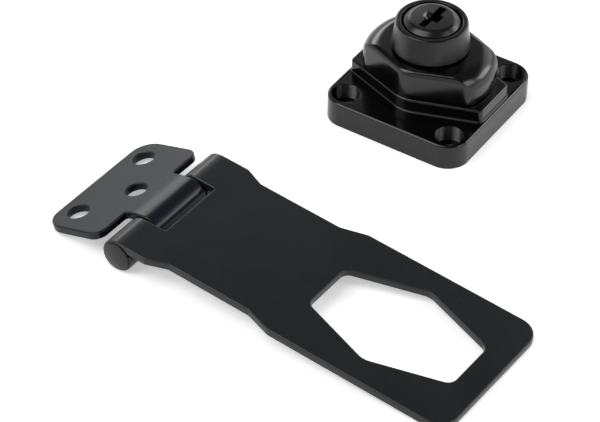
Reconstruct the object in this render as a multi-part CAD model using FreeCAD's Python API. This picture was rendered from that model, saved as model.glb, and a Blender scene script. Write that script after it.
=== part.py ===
import FreeCAD, Part
import math
import os

Vector = FreeCAD.Vector
UP = Vector(0, 0, 1)

# Keyed hasp lock, in millimetres. The foot of the lock stands on z = 0 and its axis is the Z axis.
# The hasp lies beside it on the same surface, as when both are taken out of the packet.

# Foot of the lock: a square die casting, hollow underneath
base_side = 42.0
base_height = 7.2
base_corner_radius = 6.2
base_wall = 2.2
base_roof = 2.6
base_edge_bevel = 0.4
screw_pitch = 31.6
screw_hole_radius = 2.1
counterbore_radius = 3.9
counterbore_floor = 2.6
screw_boss_wall = 1.5
hub_wall = 4.9
rib_thickness = 1.8

# Raised six-sided pad that fills the opening of the hasp
pad_height = 3.8
pad_length = 40.2
pad_middle_width = 27.9
pad_end_width = 13.8
pad_middle_radius = 9.5
pad_corner_radius = 1.4
pad_edge_bevel = 0.35

# Turn knob: a domed body of revolution cut by four upright flats
knob_radius = 18.0
knob_height = 8.8
knob_middle_width = 27.6
knob_end_width = 13.6
knob_middle_radius = 3.2
knob_shoulder_radius = 4.1
knob_shoulder_steps = 4
knob_gap = 0.1
knob_core_length = 5.2
knob_core_width = 8.4
knob_core_depth = 5.5
spindle_wall = 1.95
spindle_fit = 0.06

# Lock cylinder: housing with a conical head, and the plug that turns in it
housing_body_radius = 7.2
housing_fit = 0.03
head_height = 7.5
head_foot_radius = 10.4
head_rim_radius = 9.5
head_shadow_gap = 0.5
head_seat_radius = 9.6
head_recess_depth = 3.6
head_recess_wall = 1.65
housing_rib_width = 2.0
housing_rib_height = 1.1
housing_rib_gap = 0.1
housing_rib_length = 9.0
plug_radius = 6.0
plug_fit = 0.06
plug_head_gap = 0.4
plug_end_play = 0.1
plug_rise = 1.2
plug_slope_width = 1.4
plug_face_depth = 0.4
plug_tail_radius = 5.0
plug_tail_length = 1.7
wafer_groove_depth = 0.7

# Keyway
key_countersink_radius = 2.8
key_countersink_depth = 0.45
key_slot_length = 9.6
key_slot_width = 1.7
key_slot_step = 0.5
key_slot_overlap = 0.8
key_ward_reach = 2.2
key_ward_length = 2.6

# Wafers and their springs
wafer_count = 5
wafer_pitch = 2.3
wafer_thickness = 1.0
wafer_width = 6.4
wafer_gap = 0.05
wafer_window_length = 8.0
wafer_window_width = 3.5
wafer_cuts = (0.3, -0.4, 0.1, 0.5, -0.2)
wafer_ear_length = 1.2
wafer_ear_width = 1.2
spring_length = 2.9
spring_radius = 0.4
spring_wire = 0.2
spring_turns = 3
spring_sides = 6

# Clip that keeps the plug in its housing
clip_thickness = 0.6
clip_groove_depth = 0.8
clip_radius = 6.5
clip_gap = 0.05
clip_mouth = 6.0

# Locking bolt, driven by an eccentric pin on the plug
bolt_thickness = 2.0
bolt_width = 7.6
bolt_back = 6.4
bolt_gap = 0.1
bolt_nose_gap = 0.1
eccentric_offset = 2.0
eccentric_radius = 1.0
eccentric_gap = 0.15
notch_depth = 3.1
notch_gap = 0.2

# Retaining plate under the foot, with its wave washer and screws
plate_recess = 0.7
plate_thickness = 1.3
plate_radius = 11.8
washer_space = 0.6
washer_thickness = 0.25
washer_wave = 0.11
washer_waves = 3
washer_facets = 24
washer_inner_gap = 0.5
washer_width = 1.6
washer_lift = 0.02
plate_screw_offset = 6.3
plate_screw_radius = 1.25
plate_screw_head_radius = 2.2
plate_screw_length = 4.2
plate_screw_slot = 0.6
spindle_floor = 0.9
cavity_floor = 0.8

# Stop pin that limits the knob to a quarter turn
stop_radius = 1.0
stop_circle_radius = 11.0
stop_groove_gap = 0.2
stop_groove_depth = 2.0
stop_pin_length = 6.0
quarter_turn = 90.0

# Hasp: slotted strap, leaf and pin
sheet_thickness = 2.0
pin_radius = 2.3
pin_fit = 0.08
strap_length = 96.7
strap_width = 42.4
strap_waist_width = 37.8
strap_shoulder_start = 8.6
strap_shoulder_end = 14.2
strap_flare_start = 38.6
strap_flare_end = 45.8
strap_bend_radius = 4.0
strap_corner_radius = 5.5
slot_depth = 6.0
knuckle_width = 19.0
knuckle_gap = 0.5
opening_end_web = 7.1
opening_clearance = 0.6
opening_middle_width = 28.8
opening_end_width = 15.2
opening_middle_radius = 5.0
opening_corner_radius = 2.6
curl_opening_angle = 62.0
leaf_length = 24.1
leaf_width = 40.8
leaf_shoulder = 5.4
leaf_far_radius = 5.6
leaf_near_radius = 3.2
leaf_hole_radius = 2.9
leaf_hole_line = 18.3
leaf_hole_spacing = 26.2
leaf_middle_hole = 9.8
sheet_edge_bevel = 0.3
pin_head_radius = 4.2
pin_head_height = 2.1
pin_head_steps = ((1.0, 0.0), (0.96, 0.35), (0.66, 0.8), (0.0, 1.0))
pin_head_gap = 0.2
pin_end_length = 0.7

# Place of the hinge on the surface, and how far the hasp is turned in plan
hinge_x = -28.6
hinge_y = -77.7
hasp_turn = -2.6

# Heights worked out from the sizes above
pad_top = base_height + pad_height
knob_bottom = pad_top + knob_gap
knob_top = knob_bottom + knob_height
plate_top = plate_recess + plate_thickness
hub_bottom = plate_top + washer_space
channel_bottom = plate_top + spindle_floor
channel_top = channel_bottom + bolt_thickness + 2 * bolt_gap
cavity_bottom = channel_top + cavity_floor
tail_bottom = cavity_bottom + 0.2
clip_bottom = tail_bottom + 0.8
housing_bottom = clip_bottom + clip_thickness + plug_end_play * 2
rim_height = knob_top + head_height + head_shadow_gap
head_floor = rim_height - head_recess_depth
plug_head_bottom = head_floor + plug_end_play
plug_edge_height = rim_height - plug_face_depth
plug_top = rim_height + plug_rise

# Middle of the opening along the strap, left by the web at its end
opening_centre = strap_length - opening_end_web - opening_clearance - pad_length / 2

# Radii worked out from the sizes above
spindle_radius = housing_body_radius + housing_fit + spindle_wall
base_bore_radius = spindle_radius + spindle_fit
hub_radius = base_bore_radius + hub_wall
head_recess_radius = head_rim_radius - head_recess_wall
plug_head_radius = head_recess_radius - plug_head_gap
knuckle_bore_radius = pin_radius + pin_fit
knuckle_radius = knuckle_bore_radius + sheet_thickness


def box(x0, x1, y0, y1, z0, z1):
    return Part.makeBox(x1 - x0, y1 - y0, z1 - z0, Vector(x0, y0, z0))


def cylinder(radius, z0, z1, x=0.0, y=0.0):
    return Part.makeCylinder(radius, z1 - z0, Vector(x, y, z0))


def rounded_wire(corners, z):
    """Closed outline through (x, y, radius) corners, each rounded by its own radius."""
    starts = []
    middles = []
    ends = []
    count = len(corners)
    for i in range(count):
        x, y, radius = corners[i]
        corner = Vector(x, y, z)
        before = Vector(corners[i - 1][0], corners[i - 1][1], z) - corner
        after = Vector(corners[(i + 1) % count][0], corners[(i + 1) % count][1], z) - corner
        before.normalize()
        after.normalize()
        half = before.getAngle(after) / 2
        reach = radius / math.tan(half)
        bisector = before + after
        bisector.normalize()
        starts.append(corner + before * reach)
        middles.append(corner + bisector * (radius / math.sin(half) - radius))
        ends.append(corner + after * reach)
    edges = []
    for i in range(count):
        if corners[i][2] > 0:
            edges.append(Part.Arc(starts[i], middles[i], ends[i]).toShape())
        following = (i + 1) % count
        if ends[i].distanceToPoint(starts[following]) > 1e-6:
            edges.append(Part.LineSegment(ends[i], starts[following]).toShape())
    return Part.Wire(edges)


def rounded_prism(corners, z0, z1):
    return Part.Face(rounded_wire(corners, z0)).extrude(UP * (z1 - z0))


def square_corners(side, radius):
    h = side / 2
    return [(h, -h, radius), (h, h, radius), (-h, h, radius), (-h, -h, radius)]


def six_sided_corners(length, middle_width, end_width, middle_radius, corner_radius):
    """Long six-sided outline along X, with its two blunt points at the middle of its length."""
    half = length / 2
    middle = middle_width / 2
    end = end_width / 2
    return [
        (half, -end, corner_radius),
        (half, end, corner_radius),
        (0, middle, middle_radius),
        (-half, end, corner_radius),
        (-half, -end, corner_radius),
        (0, -middle, middle_radius),
    ]


def edges_at_height(shape, z):
    found = []
    for edge in shape.Edges:
        bounds = edge.BoundBox
        if abs(bounds.ZMin - z) < 1e-5 and abs(bounds.ZMax - z) < 1e-5:
            found.append(edge)
    return found


def turned(points, axis_point=Vector(0, 0, 0)):
    """Body of revolution about Z from a closed list of (radius, height) points."""
    corners = [Vector(r, 0, z) for r, z in points]
    corners.append(corners[0])
    return Part.Face(Part.makePolygon(corners)).revolve(axis_point, UP, 360)


def screw_places():
    h = screw_pitch / 2
    return [(-h, -h), (h, -h), (-h, h), (h, h)]


def underside_hollow():
    """Space under the foot, left by its outer wall, hub, ribs and screw bosses."""
    inner_side = base_side - 2 * base_wall
    inner_radius = max(base_corner_radius - base_wall, 0.5)
    roof = base_height - base_roof
    hollow = rounded_prism(square_corners(inner_side, inner_radius), -1, roof)
    hollow = hollow.cut(cylinder(hub_radius, hub_bottom, roof + 1))
    boss_radius = counterbore_radius + screw_boss_wall
    for x, y in screw_places():
        hollow = hollow.cut(cylinder(boss_radius, -2, roof + 1, x, y))
    for turn in (45, 135):
        rib = box(-base_side, base_side, -rib_thickness / 2, rib_thickness / 2, hub_bottom, roof + 1)
        rib.rotate(Vector(0, 0, 0), UP, turn)
        hollow = hollow.cut(rib)
    return hollow


def stop_groove():
    """Quarter-circle groove in the pad, in which the stop pin runs."""
    half_width = stop_radius + stop_groove_gap
    z0 = pad_top - stop_groove_depth
    ring = cylinder(stop_circle_radius + half_width, z0, pad_top + 1)
    ring = ring.cut(cylinder(stop_circle_radius - half_width, z0 - 1, pad_top + 2))
    far = 2 * stop_circle_radius
    start = math.radians(-90 - quarter_turn / 2)
    end = math.radians(-90 + quarter_turn / 2)
    wedge_points = [
        Vector(0, 0, z0),
        Vector(far * math.cos(start), far * math.sin(start), z0),
        Vector(0, -far * 1.5, z0),
        Vector(far * math.cos(end), far * math.sin(end), z0),
        Vector(0, 0, z0),
    ]
    wedge = Part.Face(Part.makePolygon(wedge_points)).extrude(UP * (stop_groove_depth + 1))
    groove = ring.common(wedge)
    for angle in (start, end):
        x = stop_circle_radius * math.cos(angle)
        y = stop_circle_radius * math.sin(angle)
        groove = groove.fuse(cylinder(half_width, z0, pad_top + 1, x, y))
    return groove


def bolt_notch():
    """Pocket in the wall of the bore that takes the nose of the bolt, along +X."""
    half = bolt_width / 2 + notch_gap
    reach = base_bore_radius + notch_depth
    return box(spindle_radius - 2, reach, -half, half, hub_bottom - 1, channel_top + notch_gap)


def make_lock_base():
    foot = rounded_prism(square_corners(base_side, base_corner_radius), 0, base_height)
    foot = foot.makeChamfer(base_edge_bevel, edges_at_height(foot, base_height))
    outline = six_sided_corners(pad_length, pad_middle_width, pad_end_width,
                                pad_middle_radius, pad_corner_radius)
    pad = rounded_prism(outline, base_height - base_roof / 2, pad_top)
    pad = pad.makeChamfer(pad_edge_bevel, edges_at_height(pad, pad_top))
    body = foot.fuse(pad)
    body = body.cut(underside_hollow())
    body = body.cut(cylinder(base_bore_radius, -1, pad_top + 1))
    for x, y in screw_places():
        body = body.cut(cylinder(screw_hole_radius, -1, base_height + 1, x, y))
        body = body.cut(cylinder(counterbore_radius, counterbore_floor, base_height + 1, x, y))
    for turn in (0, quarter_turn):
        notch = bolt_notch()
        notch.rotate(Vector(0, 0, 0), UP, turn)
        body = body.cut(notch)
    body = body.cut(stop_groove())
    return body.removeSplitter()


def knob_body():
    """Domed grip: a turned body with a rounded shoulder, cut to a six-sided outline."""
    shoulder = min(knob_shoulder_radius, knob_height - 1.0, knob_radius - knob_middle_width / 2)
    profile = [(0, knob_top), (0, knob_bottom), (knob_radius, knob_bottom)]
    for step in range(knob_shoulder_steps + 1):
        angle = math.pi / 2 * step / knob_shoulder_steps
        r = knob_radius - shoulder + shoulder * math.cos(angle)
        z = knob_top - shoulder + shoulder * math.sin(angle)
        profile.append((r, z))
    dome = turned(profile)
    end_slope = (knob_middle_width - knob_end_width) / 2 / knob_radius
    reach = knob_radius * 1.2
    middle = knob_middle_width / 2
    end = middle - end_slope * reach
    outline = [
        (reach, -end, 0),
        (reach, end, 0),
        (0, middle, knob_middle_radius),
        (-reach, end, 0),
        (-reach, -end, 0),
        (0, -middle, knob_middle_radius),
    ]
    return dome.common(rounded_prism(outline, knob_bottom - 1, knob_top + 1))


def make_turn_knob():
    knob = knob_body()
    knob = knob.fuse(cylinder(spindle_radius, plate_top, knob_bottom + 1))
    bore = housing_body_radius + housing_fit
    knob = knob.cut(cylinder(bore, cavity_bottom, knob_top + 1))
    reach = housing_body_radius + housing_rib_height + housing_rib_gap
    half = housing_rib_width / 2 + housing_rib_gap
    knob = knob.cut(box(-reach, 0, -half, half, knob_top - housing_rib_length - housing_rib_gap, knob_top + 1))
    bolt_half = bolt_width / 2 + bolt_gap
    knob = knob.cut(box(-bolt_back - bolt_gap, spindle_radius + 1, -bolt_half, bolt_half,
                        channel_bottom, channel_top))
    pin_path = eccentric_offset + eccentric_radius + eccentric_gap
    knob = knob.cut(cylinder(pin_path, channel_bottom + bolt_gap, cavity_bottom + 1))
    for side in (-1, 1):
        y = side * plate_screw_offset
        depth = plate_recess + plate_screw_length + 0.2
        knob = knob.cut(cylinder(plate_screw_radius + housing_fit, plate_top - 1, depth, 0, y))
        near = spindle_radius + 1.6
        x0 = side * near
        x1 = side * (near + knob_core_length)
        core = [(x0, -knob_core_width / 2, 0.8), (x1, -knob_core_width / 2, 0.8),
                (x1, knob_core_width / 2, 0.8), (x0, knob_core_width / 2, 0.8)]
        knob = knob.cut(rounded_prism(core, knob_bottom - 1, knob_bottom + knob_core_depth))
    x, y = stop_place()
    top = pad_top - stop_groove_depth + stop_groove_gap + stop_pin_length
    knob = knob.cut(cylinder(stop_radius + housing_fit, knob_bottom - 1, top, x, y))
    return knob.removeSplitter()


def stop_place():
    angle = math.radians(-90 - quarter_turn / 2)
    return stop_circle_radius * math.cos(angle), stop_circle_radius * math.sin(angle)


def make_stop_pin():
    x, y = stop_place()
    bottom = pad_top - stop_groove_depth + stop_groove_gap
    return cylinder(stop_radius, bottom, bottom + stop_pin_length, x, y)


def make_cylinder_housing():
    head_bottom = knob_top + head_shadow_gap
    outside = turned([
        (0, housing_bottom),
        (housing_body_radius, housing_bottom),
        (housing_body_radius, knob_top),
        (head_seat_radius, knob_top),
        (head_seat_radius, head_bottom),
        (head_foot_radius, head_bottom),
        (head_rim_radius, rim_height),
        (0, rim_height),
    ])
    half = housing_rib_width / 2
    outer = housing_body_radius + housing_rib_height
    outside = outside.fuse(box(-outer, -plug_radius - 0.5, -half, half, knob_top - housing_rib_length, knob_top))
    housing = outside.cut(cylinder(head_recess_radius, head_floor, rim_height + 1))
    housing = housing.cut(cylinder(plug_radius + plug_fit, housing_bottom - 1, rim_height))
    groove = plug_radius + plug_fit + wafer_groove_depth
    wide = wafer_width / 2 - 0.6
    housing = housing.cut(box(-wide, wide, -groove, groove, housing_bottom - 1, head_floor - 1.5))
    return housing.removeSplitter()


def key_slot(z0, z1):
    """Stepped keyway: two slots that overlap in the middle, and a short side groove."""
    half = key_slot_length / 2
    shift = key_slot_step / 2
    wide = key_slot_width / 2
    low = box(-wide - shift, wide - shift, -half, key_slot_overlap, z0, z1)
    high = box(-wide + shift, wide + shift, -key_slot_overlap, half, z0, z1)
    ward = box(0, key_ward_reach, -key_ward_length / 2, key_ward_length / 2, z0, z1)
    return low.fuse(high).fuse(ward).removeSplitter()


def wafer_level(index):
    return housing_bottom + 1.2 + index * wafer_pitch


def ear_start():
    return wafer_width / 2 - 0.1


def make_cylinder_plug():
    slope_radius = plug_head_radius - plug_slope_width
    outside = turned([
        (0, tail_bottom),
        (plug_tail_radius, tail_bottom),
        (plug_tail_radius, clip_bottom),
        (plug_tail_radius - clip_groove_depth, clip_bottom),
        (plug_tail_radius - clip_groove_depth, clip_bottom + clip_thickness + clip_gap),
        (plug_tail_radius, clip_bottom + clip_thickness + clip_gap),
        (plug_tail_radius, housing_bottom),
        (plug_radius, housing_bottom),
        (plug_radius, plug_head_bottom),
        (plug_head_radius, plug_head_bottom),
        (plug_head_radius, plug_edge_height),
        (slope_radius, plug_top),
        (key_countersink_radius, plug_top),
        (key_countersink_radius - 0.6, plug_top - key_countersink_depth),
        (0, plug_top - key_countersink_depth),
    ])
    angle = math.radians(-90 - quarter_turn / 2)
    x = eccentric_offset * math.cos(angle)
    y = eccentric_offset * math.sin(angle)
    plug = outside.fuse(cylinder(eccentric_radius, channel_bottom + 2 * bolt_gap, tail_bottom + 0.5, x, y))
    plug = plug.cut(key_slot(housing_bottom + 0.6, plug_top + 1))
    wide = wafer_width / 2 + wafer_gap
    for index in range(wafer_count):
        z0 = wafer_level(index) - wafer_gap
        z1 = wafer_level(index) + wafer_thickness + wafer_gap
        plug = plug.cut(box(-wide, wide, -plug_radius - 1, plug_radius + 1, z0, z1))
        side = ear_start() + wafer_ear_width + wafer_gap
        low = wafer_ear_length / 2 - wafer_ear_length - spring_length - wafer_gap
        high = wafer_ear_length / 2 + wafer_gap + 0.6
        plug = plug.cut(box(0, side, low, high, z0, z1))
    return plug.removeSplitter()


def make_wafer(index):
    """One wafer, held flush with the plug as the right key would hold it."""
    z0 = wafer_level(index)
    z1 = z0 + wafer_thickness
    half = wafer_width / 2
    wafer = cylinder(plug_radius - wafer_gap, z0, z1)
    wafer = wafer.common(box(-half, half, -plug_radius, plug_radius, z0, z1))
    ear = wafer_ear_length / 2
    wafer = wafer.fuse(box(ear_start() - 0.5, ear_start() + wafer_ear_width, -ear, ear, z0, z1))
    window = wafer_window_length / 2
    wide = wafer_window_width / 2
    shift = wafer_cuts[index]
    wafer = wafer.cut(box(-wide, wide, shift - window, shift + window, z0 - 1, z1 + 1))
    return wafer.removeSplitter()


def make_wafer_spring(index):
    """Coil spring of square wire that lies beside the wafer and pushes on its ear."""
    wire_gap = 0.05
    half = spring_wire / 2
    length = spring_length - spring_wire - 2 * wire_gap
    steps = spring_turns * spring_sides
    x = ear_start() + 0.1 + spring_radius + half
    y = -wafer_ear_length / 2 - wire_gap - half
    z = wafer_level(index) + wafer_thickness / 2
    rings = []
    for i in range(steps + 1):
        angle = 2 * math.pi * i / spring_sides
        ring = []
        for out, along in ((-half, -half), (half, -half), (half, half), (-half, half)):
            radius = spring_radius + out
            across = radius * math.cos(angle)
            rise = radius * math.sin(angle)
            ring.append(Vector(x + across, y - length * i / steps + along, z + rise))
        rings.append(ring)
    faces = []
    for first, second in zip(rings, rings[1:]):
        for k in range(4):
            following = (k + 1) % 4
            faces.append(flat_face([first[k], first[following], second[following]]))
            faces.append(flat_face([first[k], second[following], second[k]]))
    faces.append(flat_face(rings[0]))
    faces.append(flat_face(rings[-1]))
    return closed_solid(faces)


def flat_face(points):
    return Part.Face(Part.makePolygon(points + [points[0]]))


def closed_solid(faces):
    solid = Part.Solid(Part.Shell(faces))
    if solid.Volume < 0:
        solid.reverse()
    return solid


def make_plug_clip():
    z1 = clip_bottom + clip_thickness
    inner = plug_tail_radius - clip_groove_depth + clip_gap
    clip = cylinder(clip_radius, clip_bottom, z1).cut(cylinder(inner, clip_bottom - 1, z1 + 1))
    mouth = clip_mouth / 2
    return clip.cut(box(0, clip_radius + 1, -mouth, mouth, clip_bottom - 1, z1 + 1))


def make_locking_bolt():
    """Flat bolt with a round nose and a cross slot for the eccentric pin."""
    z0 = channel_bottom + bolt_gap
    z1 = z0 + bolt_thickness
    half = bolt_width / 2
    nose = cylinder(spindle_radius - bolt_nose_gap, z0, z1)
    bolt = nose.common(box(-bolt_back, spindle_radius, -half, half, z0, z1))
    angle = math.radians(-90 - quarter_turn / 2)
    x = eccentric_offset * math.cos(angle)
    y = eccentric_offset * math.sin(angle)
    grip = eccentric_radius + eccentric_gap
    slot = box(x - grip, x + grip, -eccentric_offset, y, z0 - 1, z1 + 1)
    slot = slot.fuse(cylinder(grip, z0 - 1, z1 + 1, x, -eccentric_offset))
    slot = slot.fuse(cylinder(grip, z0 - 1, z1 + 1, x, y))
    return bolt.cut(slot).removeSplitter()


def plate_screw_cone():
    return plate_screw_head_radius - plate_screw_radius


def make_retaining_plate():
    plate = cylinder(plate_radius, plate_recess, plate_top)
    play = 0.05
    for side in (-1, 1):
        y = side * plate_screw_offset
        plate = plate.cut(cylinder(plate_screw_radius + play, 0, plate_top + 1, 0, y))
        sink = Part.makeCone(plate_screw_head_radius + play, plate_screw_radius + play,
                             plate_screw_cone(), Vector(0, y, plate_recess))
        plate = plate.cut(sink)
    return plate


def make_plate_screws():
    screws = []
    for side in (-1, 1):
        y = side * plate_screw_offset
        top = plate_recess + plate_screw_length
        screw = turned([
            (0, plate_recess),
            (plate_screw_head_radius, plate_recess),
            (plate_screw_radius, plate_recess + plate_screw_cone()),
            (plate_screw_radius, top),
            (0, top),
        ])
        half = plate_screw_slot / 2
        reach = plate_screw_head_radius + 1
        slot = box(-reach, reach, -half, half, plate_recess - 1, plate_recess + 0.5)
        screw = screw.cut(slot)
        screw.translate(Vector(0, y, 0))
        screws.append(screw)
    return Part.makeCompound(screws)


def washer_point(radius, index, z):
    angle = 2 * math.pi * index / washer_facets
    height = z + washer_wave * (1 + math.cos(washer_waves * angle))
    return Vector(radius * math.cos(angle), radius * math.sin(angle), height)


def make_wave_washer():
    """Flat spring ring bent into waves, made of short straight facets."""
    inner = base_bore_radius + washer_inner_gap
    outer = inner + washer_width
    low = plate_top + washer_lift
    high = low + washer_thickness
    faces = []
    for i in range(washer_facets):
        corners = []
        for index in (i, i + 1):
            for radius, z in ((inner, low), (outer, low), (outer, high), (inner, high)):
                corners.append(washer_point(radius, index, z))
        for k in range(4):
            following = (k + 1) % 4
            faces.append(flat_face([corners[k], corners[following], corners[following + 4]]))
            faces.append(flat_face([corners[k], corners[following + 4], corners[k + 4]]))
    return closed_solid(faces)


def upright_arc(radius, start, end):
    """Arc in the XZ plane about the hinge axis, between two angles in degrees."""
    points = []
    for angle in (start, (start + end) / 2, end):
        a = math.radians(angle)
        points.append(Vector(radius * math.cos(a), 0, radius * math.sin(a)))
    return Part.Arc(points[0], points[1], points[2]).toShape()


def curl(y0, y1, side):
    """Sheet rolled round the pin from the top of the barrel, away from the plate on that side."""
    start = 90.0
    end = 90.0 + side * (360.0 - curl_opening_angle)
    outer = upright_arc(knuckle_radius, start, end)
    inner = upright_arc(knuckle_bore_radius, end, start)
    outer_end = outer.valueAt(outer.LastParameter)
    inner_start = inner.valueAt(inner.FirstParameter)
    inner_end = inner.valueAt(inner.LastParameter)
    outer_start = outer.valueAt(outer.FirstParameter)
    wire = Part.Wire([
        outer,
        Part.LineSegment(outer_end, inner_start).toShape(),
        inner,
        Part.LineSegment(inner_end, outer_start).toShape(),
    ])
    rolled = Part.Face(wire).extrude(Vector(0, y1 - y0, 0))
    rolled.translate(Vector(0, y0, 0))
    return rolled


def bevel_top_edges(plate, size, keep_clear):
    """Takes the stamped edge off round the upper face, away from the barrel."""
    chosen = []
    for edge in edges_at_height(plate, knuckle_radius):
        if abs(edge.BoundBox.Center.x) > keep_clear or edge.BoundBox.XLength > keep_clear:
            chosen.append(edge)
    return plate.makeChamfer(size, chosen)


def strap_plate():
    half = strap_width / 2
    waist = strap_waist_width / 2
    side = [
        (0, half, 0),
        (strap_shoulder_start, half, strap_bend_radius),
        (strap_shoulder_end, waist, strap_bend_radius),
        (strap_flare_start, waist, strap_bend_radius),
        (strap_flare_end, half, strap_bend_radius),
        (strap_length, half, strap_corner_radius),
    ]
    outline = [(x, -y, r) for x, y, r in side] + list(reversed(side))
    z0 = knuckle_radius - sheet_thickness
    plate = rounded_prism(outline, z0, knuckle_radius)
    opening = six_sided_corners(pad_length + 2 * opening_clearance, opening_middle_width,
                                opening_end_width, opening_middle_radius, opening_corner_radius)
    moved = [(x + opening_centre, y, r) for x, y, r in opening]
    plate = plate.cut(rounded_prism(moved, z0 - 1, knuckle_radius + 1))
    return bevel_top_edges(plate, sheet_edge_bevel, 1.0)


def make_hinge_strap():
    half = strap_width / 2
    slot_half = knuckle_width / 2 + knuckle_gap
    plate = strap_plate()
    gap = box(-1, slot_depth, -slot_half, slot_half, 0, knuckle_radius + 1)
    plate = plate.cut(gap)
    strap = plate.fuse(curl(-half, -slot_half, 1))
    strap = strap.fuse(curl(slot_half, half, 1))
    strap = strap.removeSplitter()
    strap.Placement = hinge_placement(lean_angle(strap_length))
    return strap


def leaf_plate():
    half = leaf_width / 2
    knuckle = knuckle_width / 2
    side = [
        (0, knuckle, 0),
        (-leaf_shoulder, knuckle, 0.8),
        (-leaf_shoulder, half, leaf_near_radius),
        (-leaf_length, half, leaf_far_radius),
    ]
    outline = side + [(x, -y, r) for x, y, r in reversed(side)]
    z0 = knuckle_radius - sheet_thickness
    plate = rounded_prism(outline, z0, knuckle_radius)
    plate = bevel_top_edges(plate, sheet_edge_bevel, 1.0)
    spread = leaf_hole_spacing / 2
    for x, y in ((-leaf_hole_line, -spread), (-leaf_hole_line, spread), (-leaf_middle_hole, 0)):
        plate = plate.cut(cylinder(leaf_hole_radius, z0 - 1, knuckle_radius + 1, x, y))
    return plate


def make_hinge_leaf():
    half = knuckle_width / 2
    leaf = leaf_plate().fuse(curl(-half, half, -1))
    leaf = leaf.removeSplitter()
    leaf.Placement = hinge_placement(-lean_angle(leaf_length))
    return leaf


def make_hinge_pin():
    """Pin with a domed head at the front end of the barrel."""
    start = -strap_width / 2 - pin_head_gap
    end = strap_width / 2 + pin_end_length
    dome = [(0, start)]
    for out, down in pin_head_steps:
        dome.append((pin_head_radius * out, start - pin_head_height * down))
    head = turned(dome)
    shank = cylinder(pin_radius, start - 0.1, end)
    pin = head.fuse(shank).removeSplitter()
    pin.rotate(Vector(0, 0, 0), Vector(1, 0, 0), -90)
    pin.Placement = hinge_placement(0).multiply(pin.Placement)
    return pin


def lean_angle(length):
    """Slope of a plate whose barrel and far edge both lie on the surface, in degrees."""
    inner = knuckle_radius - sheet_thickness
    reach = math.hypot(length, inner)
    return math.degrees(math.asin(knuckle_radius / reach) + math.atan2(inner, length))


def hinge_placement(lean):
    turn = FreeCAD.Rotation(UP, hasp_turn).multiply(FreeCAD.Rotation(Vector(0, 1, 0), lean))
    return FreeCAD.Placement(Vector(hinge_x, hinge_y, knuckle_radius), turn)


def save(name, shape):
    shape.exportStep("parts/" + name + ".step")


def main():
    os.makedirs("parts", exist_ok=True)
    save("lock_base", make_lock_base())
    save("turn_knob", make_turn_knob())
    save("stop_pin", make_stop_pin())
    save("cylinder_housing", make_cylinder_housing())
    save("cylinder_plug", make_cylinder_plug())
    for index in range(wafer_count):
        save("wafer_" + str(index + 1), make_wafer(index))
        save("wafer_spring_" + str(index + 1), make_wafer_spring(index))
    save("plug_clip", make_plug_clip())
    save("locking_bolt", make_locking_bolt())
    save("retaining_plate", make_retaining_plate())
    save("plate_screws", make_plate_screws())
    save("wave_washer", make_wave_washer())
    save("hinge_strap", make_hinge_strap())
    save("hinge_leaf", make_hinge_leaf())
    save("hinge_pin", make_hinge_pin())


main()
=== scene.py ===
import math
import bpy
import bmesh
from mathutils import Matrix, Vector
from mathutils.geometry import delaunay_2d_cdt


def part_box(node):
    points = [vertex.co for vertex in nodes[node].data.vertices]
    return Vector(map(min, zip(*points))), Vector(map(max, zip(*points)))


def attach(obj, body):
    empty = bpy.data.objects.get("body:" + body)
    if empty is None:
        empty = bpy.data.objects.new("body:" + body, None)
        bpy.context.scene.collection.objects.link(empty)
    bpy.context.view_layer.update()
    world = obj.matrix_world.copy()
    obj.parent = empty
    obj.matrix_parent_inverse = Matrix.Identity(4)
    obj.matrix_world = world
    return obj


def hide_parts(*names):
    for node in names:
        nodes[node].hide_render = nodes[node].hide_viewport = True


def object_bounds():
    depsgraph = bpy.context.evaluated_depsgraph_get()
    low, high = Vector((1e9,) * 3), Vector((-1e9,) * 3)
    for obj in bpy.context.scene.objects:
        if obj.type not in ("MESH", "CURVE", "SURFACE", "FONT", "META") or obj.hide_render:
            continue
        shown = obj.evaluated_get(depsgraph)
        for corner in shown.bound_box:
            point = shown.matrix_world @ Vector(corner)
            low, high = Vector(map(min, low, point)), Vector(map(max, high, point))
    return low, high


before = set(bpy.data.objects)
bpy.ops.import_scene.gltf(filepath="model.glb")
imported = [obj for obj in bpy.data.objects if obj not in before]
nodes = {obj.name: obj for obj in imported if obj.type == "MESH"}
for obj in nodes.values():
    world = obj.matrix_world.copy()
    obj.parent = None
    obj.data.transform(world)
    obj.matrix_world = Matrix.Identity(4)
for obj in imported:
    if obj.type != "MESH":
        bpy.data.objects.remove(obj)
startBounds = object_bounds()

mm = 0.001


def newNode(tree, kind, **values):
    node = tree.nodes.new(kind)
    for key, value in values.items():
        setattr(node, key, value)
    return node


def mathStep(tree, operation, *values):  # one sum in a node tree, fed by sockets or plain numbers
    node = newNode(tree, "ShaderNodeMath", operation=operation)
    for i, value in enumerate(values):
        if hasattr(value, "is_output"):
            tree.links.new(value, node.inputs[i])
        else:
            node.inputs[i].default_value = value
    return node.outputs[0]


def noiseOn(tree, place, scale, detail):  # noise on the piece's own coordinates
    noise = newNode(tree, "ShaderNodeTexNoise")
    noise.inputs["Scale"].default_value = scale
    noise.inputs["Detail"].default_value = detail
    tree.links.new(place, noise.inputs["Vector"])
    return noise.outputs["Fac"]


def mapped(tree, value, low, high, start=0.0, end=1.0):  # value from start to end becomes low to high
    node = newNode(tree, "ShaderNodeMapRange")
    for label, number in (("From Min", start), ("From Max", end), ("To Min", low), ("To Max", high)):
        node.inputs[label].default_value = number
    tree.links.new(value, node.inputs["Value"])
    return node.outputs["Result"]


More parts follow.
